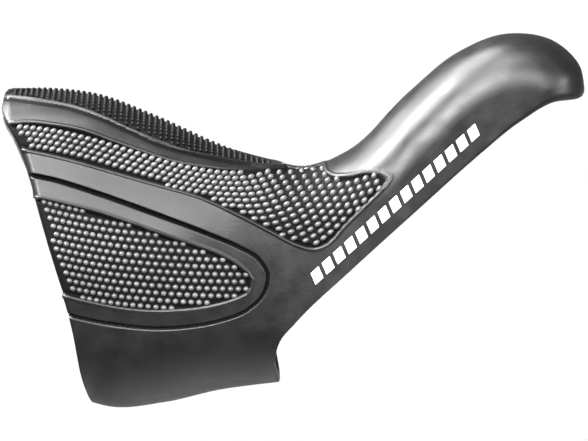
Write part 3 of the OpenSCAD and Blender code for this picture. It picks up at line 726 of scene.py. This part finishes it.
# ---------------------------------------------------------------------------------------------
# Materials

def nodes_of(name):
    material = bpy.data.materials.new(name)
    material.use_nodes = True
    tree = material.node_tree
    return material, tree, tree.nodes["Principled BSDF"]


def noise(tree, scale, detail=3.0, roughness=0.55):
    coord = tree.nodes.new("ShaderNodeTexCoord")
    node = tree.nodes.new("ShaderNodeTexNoise")
    node.inputs["Scale"].default_value = scale
    node.inputs["Detail"].default_value = detail
    node.inputs["Roughness"].default_value = roughness
    tree.links.new(coord.outputs["Object"], node.inputs["Vector"])
    return node


def ramp(tree, source, stops):
    node = tree.nodes.new("ShaderNodeValToRGB")
    while len(node.color_ramp.elements) < len(stops):
        node.color_ramp.elements.new(0.5)
    for element, (at, colour) in zip(node.color_ramp.elements, stops):
        element.position = at
        element.color = (*colour, 1) if isinstance(colour, tuple) else (colour, colour, colour, 1)
    tree.links.new(source, node.inputs["Fac"])
    return node


def bump(tree, shader, layers):
    """layers: (height output, strength, distance in metres)."""
    previous = None
    for height, strength, distance in layers:
        node = tree.nodes.new("ShaderNodeBump")
        node.inputs["Strength"].default_value = strength
        node.inputs["Distance"].default_value = distance
        tree.links.new(height, node.inputs["Height"])
        if previous:
            tree.links.new(previous.outputs["Normal"], node.inputs["Normal"])
        previous = node
    tree.links.new(previous.outputs["Normal"], shader.inputs["Normal"])


def rubber_material(name, dark, light, rough, specular=0.5):
    """Moulded rubber: cloudy tone, a fine satin grain, and a soft sheen."""
    material, tree, shader = nodes_of(name)
    cloud = noise(tree, 60, 4)
    tone = ramp(tree, cloud.outputs["Fac"], [(0.3, dark), (0.72, light)])
    tree.links.new(tone.outputs["Color"], shader.inputs["Base Color"])
    patches = noise(tree, 240, 3)
    finish = ramp(tree, patches.outputs["Fac"], [(0.3, rough - 0.06), (0.7, rough + 0.06)])
    tree.links.new(finish.outputs["Color"], shader.inputs["Roughness"])
    grain, pores = noise(tree, 5200, 2), noise(tree, 1500, 3)
    bump(tree, shader, [(grain.outputs["Fac"], 0.35, 0.00006), (pores.outputs["Fac"], 0.2, 0.00012)])
    shader.inputs["Specular IOR Level"].default_value = specular
    return material


def metal_material(name, colour, rough, brush=(1, 1, 14), metallic=1.0):
    """Ground or turned metal: fine streaks in tone and roughness, with faint wear."""
    material, tree, shader = nodes_of(name)
    coord = tree.nodes.new("ShaderNodeTexCoord")
    stretch = tree.nodes.new("ShaderNodeMapping")
    stretch.inputs["Scale"].default_value = brush
    tree.links.new(coord.outputs["Object"], stretch.inputs["Vector"])
    streak = tree.nodes.new("ShaderNodeTexNoise")
    streak.inputs["Scale"].default_value = 900
    streak.inputs["Detail"].default_value = 3
    tree.links.new(stretch.outputs["Vector"], streak.inputs["Vector"])
    dull = tuple(c * 0.78 for c in colour)
    tone = ramp(tree, streak.outputs["Fac"], [(0.3, dull), (0.7, colour)])
    tree.links.new(tone.outputs["Color"], shader.inputs["Base Color"])
    worn = noise(tree, 300, 4)
    finish = ramp(tree, worn.outputs["Fac"], [(0.35, rough - 0.07), (0.7, rough + 0.1)])
    tree.links.new(finish.outputs["Color"], shader.inputs["Roughness"])
    bump(tree, shader, [(streak.outputs["Fac"], 0.25, 0.00004)])
    shader.inputs["Metallic"].default_value = metallic
    return material


def plastic_material(name, dark, light, rough):
    """Glass-filled moulding: speckled tone and a fine dimpled grain."""
    material, tree, shader = nodes_of(name)
    speck = noise(tree, 2200, 4, 0.7)
    tone = ramp(tree, speck.outputs["Fac"], [(0.35, dark), (0.68, light)])
    tree.links.new(tone.outputs["Color"], shader.inputs["Base Color"])
    flow = noise(tree, 180, 3)
    finish = ramp(tree, flow.outputs["Fac"], [(0.3, rough - 0.06), (0.7, rough + 0.08)])
    tree.links.new(finish.outputs["Color"], shader.inputs["Roughness"])
    bump(tree, shader, [(speck.outputs["Fac"], 0.2, 0.00005)])
    return material


def ink_material(name):
    """Pad-printed light ink, a little uneven and slightly worn."""
    material, tree, shader = nodes_of(name)
    wear = noise(tree, 900, 5, 0.7)
    tone = ramp(tree, wear.outputs["Fac"], [(0.28, (0.55, 0.55, 0.55)), (0.42, (0.88, 0.88, 0.87))])
    tree.links.new(tone.outputs["Color"], shader.inputs["Base Color"])
    finish = ramp(tree, wear.outputs["Fac"], [(0.3, 0.6), (0.7, 0.45)])
    tree.links.new(finish.outputs["Color"], shader.inputs["Roughness"])
    bump(tree, shader, [(wear.outputs["Fac"], 0.2, 0.00004)])
    return material


def floor_material(name):
    material, tree, shader = nodes_of(name)
    cloud = noise(tree, 3, 2)
    tone = ramp(tree, cloud.outputs["Fac"], [(0.3, 0.9), (0.7, 0.92)])
    tree.links.new(tone.outputs["Color"], shader.inputs["Base Color"])
    shader.inputs["Roughness"].default_value = 0.9
    return material


NODE_FINISH = {
    "composite": plastic_material("composite", (0.018, 0.018, 0.02), (0.05, 0.05, 0.053), 0.5),
    "button": plastic_material("button_plastic", (0.015, 0.015, 0.016), (0.03, 0.03, 0.032), 0.34),
    "resin": plastic_material("acetal_resin", (0.6, 0.59, 0.54), (0.72, 0.71, 0.66), 0.4),
    "steel": metal_material("ground_steel", (0.56, 0.57, 0.59), 0.32),
    "dark_steel": metal_material("blackened_steel", (0.17, 0.175, 0.19), 0.38),
    "alloy": metal_material("anodised_alloy", (0.66, 0.67, 0.69), 0.36, brush=(10, 1, 1)),
    "bronze": metal_material("sintered_bronze", (0.5, 0.33, 0.15), 0.45, brush=(2, 2, 2)),
}


def dress_cad_nodes():
    slots = {s["node"]: s["material_slot"] for s in frame["record"]["subparts"]}
    for name, obj in frame["nodes"].items():
        finish = NODE_FINISH.get(slots[name])
        if finish:
            obj.data.materials.clear()
            obj.data.materials.append(finish)


# ---------------------------------------------------------------------------------------------
# Floor, light and camera

CAMERA_FAR = 1.3
VIEW_WIDTH = 0.1277
SENSOR = 36.0
VIEW_CENTRE = (0.0608, 0.0, 0.0037)


def make_camera():
    data = bpy.data.cameras.new("camera")
    camera = bpy.data.objects.new("camera", data)
    bpy.context.scene.collection.objects.link(camera)
    centre = Vector(VIEW_CENTRE)
    back = Vector((0, -math.cos(SEEN_TILT), math.sin(SEEN_TILT)))
    camera.location = centre + back * CAMERA_FAR
    camera.rotation_euler = (-back).to_track_quat("-Z", "Y").to_euler()
    data.sensor_width = SENSOR
    data.lens = SENSOR * CAMERA_FAR / VIEW_WIDTH
    data.clip_start, data.clip_end = 0.01, 60
    bpy.context.scene.camera = camera


FLOOR_Z, FLOOR_SIZE = -0.8, 24.0
ROOM = 0.15
LEVER_MIDDLE = Vector((0.05, 0.0, 0.0))
SOFTBOX_FAR, SOFTBOX_SIZE, SOFTBOX_SPREAD = 1.1, 0.52, 48
SOFTBOXES = [  # name, degrees round from the front towards the rear, degrees up, watts
    ("front_key", 15, 22, 2.6),
    ("front_fill", -25, 25, 0.9),
    ("front_high", 15, 47, 1.05),
    ("overhead", 15, 74, 1.0),
    ("tip_fill", -72, 12, 0.8),
    ("rear_end", 85, 42, 4.2),
    ("back_low", 125, 25, 0.9),
    ("back_high", 125, 60, 1.6),
]
BACKDROP_LIGHTS = [("backdrop_near", 4.5, 66.0), ("backdrop_far", 8.0, 72.0)]  # name, how far behind, watts
BACKDROP_SIZE, BACKDROP_UP, BACKDROP_SPREAD = (6.0, 3.0), 1.8, 105


def area_light(name, at, size, power, aim, spread):
    data = bpy.data.lights.new(name, "AREA")
    data.shape = "RECTANGLE"
    data.size, data.size_y = size
    data.energy = power
    data.spread = math.radians(spread)
    light = bpy.data.objects.new(name, data)
    light.location = at
    light.rotation_euler = (Vector(aim) - Vector(at)).to_track_quat("-Z", "Y").to_euler()
    bpy.context.scene.collection.objects.link(light)


def make_stage():
    """A pale floor well below the lever, a dim room, softboxes on the lever, lights over the floor behind."""
    mesh = bpy.data.meshes.new("floor")
    r = FLOOR_SIZE
    mesh.from_pydata([(-r, -r, FLOOR_Z), (r, -r, FLOOR_Z), (r, r, FLOOR_Z), (-r, r, FLOOR_Z)],
                     [], [(0, 1, 2, 3)])
    floor = bpy.data.objects.new("floor", mesh)
    bpy.context.scene.collection.objects.link(floor)
    mesh.materials.append(floor_material("pale_floor"))
    world = bpy.data.worlds.new("studio")
    world.use_nodes = True
    world.node_tree.nodes["Background"].inputs["Color"].default_value = (1, 1, 1, 1)
    world.node_tree.nodes["Background"].inputs["Strength"].default_value = ROOM
    bpy.context.scene.world = world
    bpy.context.scene.view_settings.view_transform = "Standard"
    for name, round_to, up, power in SOFTBOXES:
        a, e = math.radians(round_to), math.radians(up)
        out = Vector((-math.sin(a) * math.cos(e), -math.cos(a) * math.cos(e), math.sin(e)))
        area_light(name, LEVER_MIDDLE + out * SOFTBOX_FAR, (SOFTBOX_SIZE, SOFTBOX_SIZE), power,
                   LEVER_MIDDLE, SOFTBOX_SPREAD)
    for name, behind, power in BACKDROP_LIGHTS:
        area_light(name, (0, behind, BACKDROP_UP), BACKDROP_SIZE, power,
                   (0, behind, FLOOR_Z), BACKDROP_SPREAD)


# ---------------------------------------------------------------------------------------------

hood_rubber = rubber_material("hood_rubber", (0.0035, 0.0035, 0.0036), (0.007, 0.007, 0.0073), 0.38)
# painted shade: a darker, less glossy copy of the hood rubber for the sunk field floors and groove bottoms,
# where shade falls; its higher roughness gives a matte finish
painted_shade_rubber = rubber_material("hood_rubber_painted_shade",
                                (0.0015, 0.0015, 0.0015), (0.003, 0.003, 0.003), 0.7, 0.12)
# painted highlight: the side and saddle dots get a much lighter, glossier copy of the hood rubber, so their
# tops read bright as if catching the light
painted_highlight_dot_rubber = rubber_material("hood_rubber_dots_painted_highlight", (0.06, 0.06, 0.061), (0.11, 0.11, 0.112), 0.34, 0.7)
# painted shade: the crown dots get a darker, less glossy copy of the hood rubber, so the top of the grip
# reads darker than the light falling on it would make it
painted_shade_crown_rubber = rubber_material("hood_rubber_crown_painted_shade",
                               (0.002, 0.002, 0.0021), (0.005, 0.005, 0.0052), 0.4, 0.15)

make_camera()
make_stage()
make_skins(hood_rubber, painted_shade_rubber)
make_lining(hood_rubber)
make_slot_lip(hood_rubber)
make_dots(painted_highlight_dot_rubber, painted_shade_crown_rubber)
make_mark(ink_material("light_ink"))
dress_cad_nodes()
